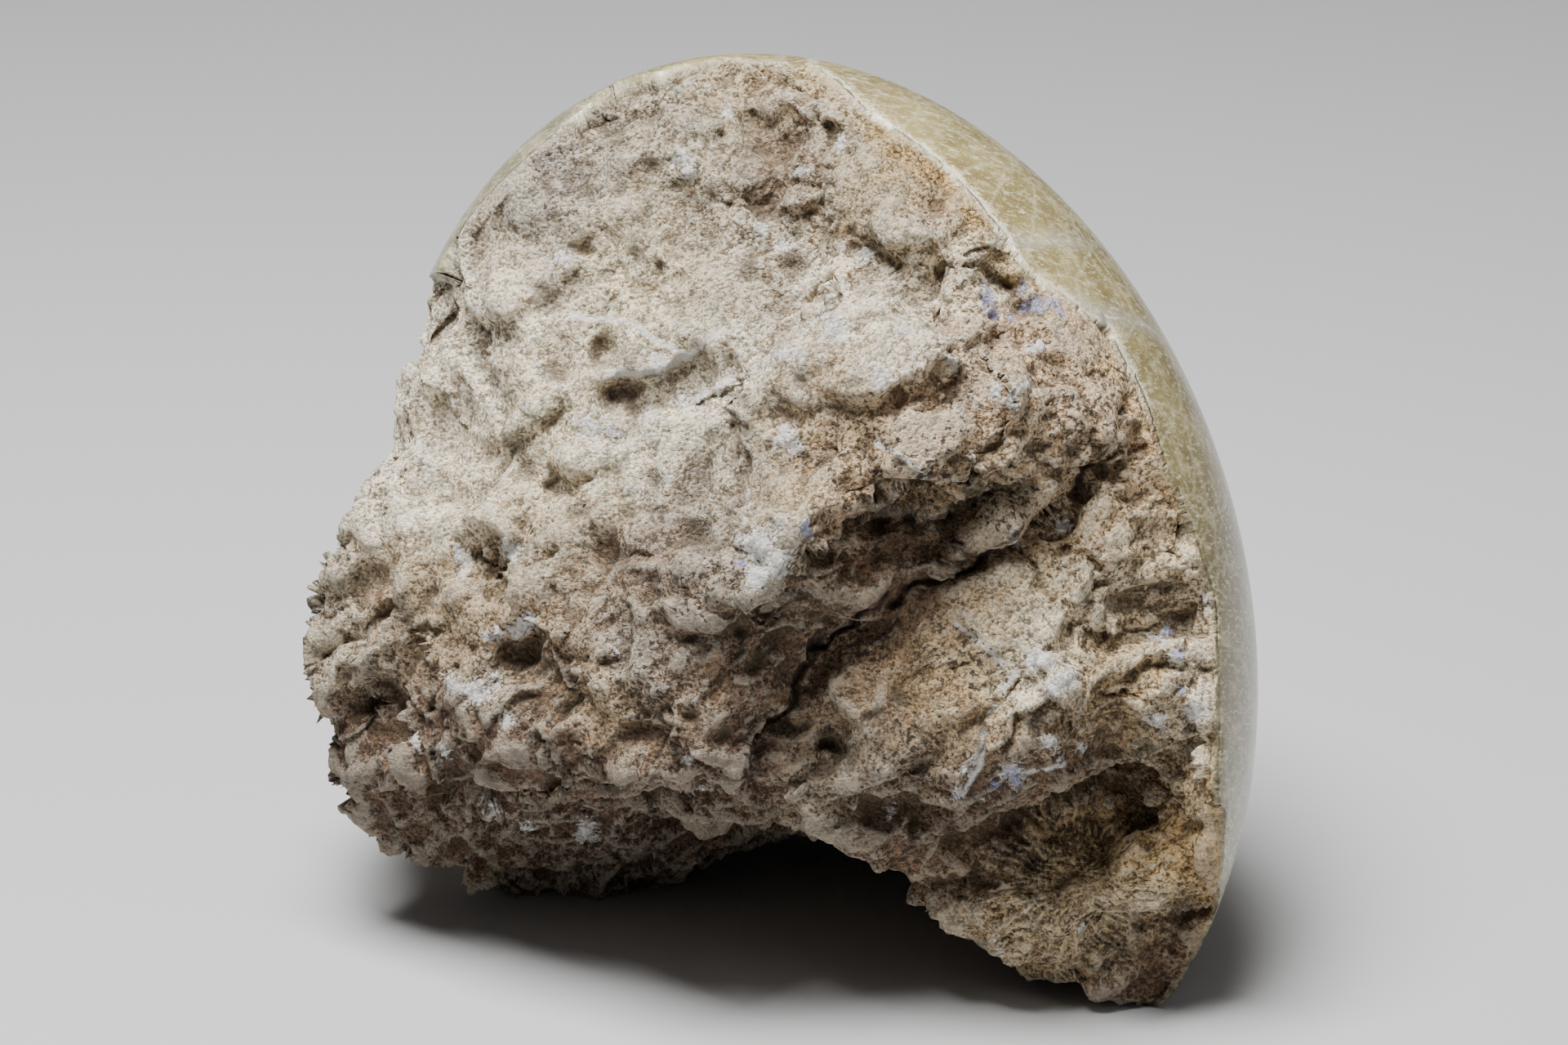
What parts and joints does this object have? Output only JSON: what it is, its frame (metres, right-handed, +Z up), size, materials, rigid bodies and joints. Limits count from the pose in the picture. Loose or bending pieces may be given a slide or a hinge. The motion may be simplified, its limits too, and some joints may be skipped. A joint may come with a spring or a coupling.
{
  "type": "fossil coral head",
  "caption": "Broken-off head of fossil coral: a rough, stepped break on one side, and a ground and polished dome on the other. It rests on its broken foot.",
  "frame": {"origin": "on the floor, under the middle of the stone's box", "axes": "+Z up as it rests, +X to the right as one looks at the break, -Y out of the break, so the polished dome faces +Y"},
  "size_m": [0.097, 0.0797, 0.0877],
  "materials": {
    "fossil_coral": "calcite, rough tan to brown on the break, ground and polished to an olive cream on the dome"
  },
  "bodies": {
    "root": {"coral_head": "fossil_coral"}
  },
  "joints": []
}
